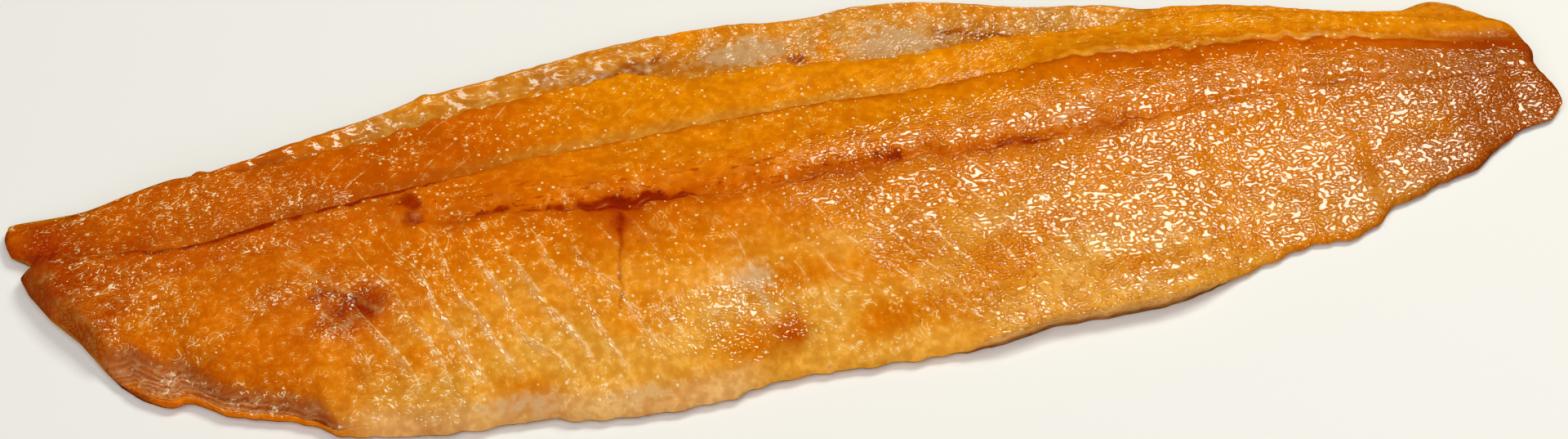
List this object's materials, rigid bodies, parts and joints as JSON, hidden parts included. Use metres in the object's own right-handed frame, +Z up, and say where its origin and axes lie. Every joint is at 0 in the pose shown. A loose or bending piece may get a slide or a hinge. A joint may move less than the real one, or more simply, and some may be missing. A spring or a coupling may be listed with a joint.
{
  "type": "smoked fish fillet",
  "caption": "Skin-down smoked fish fillet, flesh side up: a long tapering slab with a lateral groove, a stepped cleft along it and a thin belly flap.",
  "frame": {"origin": "middle of the bounding box, on the flat underside that the fillet rests on", "axes": "+X along the fillet to its slim end, +Y across it to the thin belly flap, +Z up out of the flesh side"},
  "size_m": [0.3228, 0.1048, 0.0184],
  "materials": {
    "smoked_flesh": "glossy, moist and oily, amber to golden brown, slightly translucent at the thin edges"
  },
  "bodies": {
    "root": {"fillet": "smoked_flesh"}
  },
  "joints": []
}
